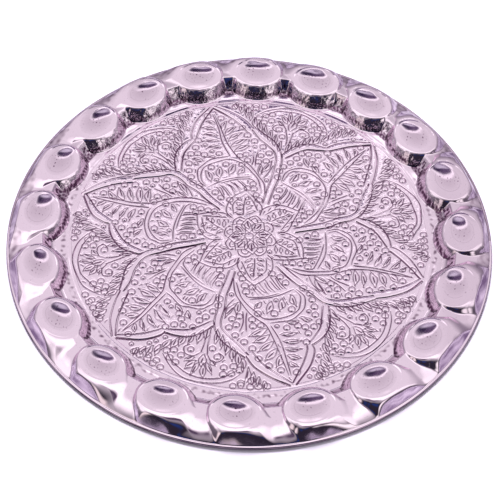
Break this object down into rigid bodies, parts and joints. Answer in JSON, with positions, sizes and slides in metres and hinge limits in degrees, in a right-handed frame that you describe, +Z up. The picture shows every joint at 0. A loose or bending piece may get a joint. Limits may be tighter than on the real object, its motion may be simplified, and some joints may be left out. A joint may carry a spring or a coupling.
{
  "type": "offering plate",
  "caption": "Round shallow metal offering plate with a flat chased floor, a rim of raised egg-shaped bosses and a wired edge.",
  "frame": {"origin": "centre of the plate on the plane it rests on, which is the underside of the floor", "axes": "+Z up, out of the bowl; +Y towards the far side as the plate is usually seen, +X to the right"},
  "size_m": [0.3048, 0.3048, 0.0116],
  "materials": {
    "polished_sheet": "polished nickel silver with a pinkish cast, tarnished in the chased lines",
    "wire": "drawn wire"
  },
  "bodies": {
    "root": {"tray_sheet": "polished_sheet", "edge_wire": "wire"}
  },
  "joints": []
}
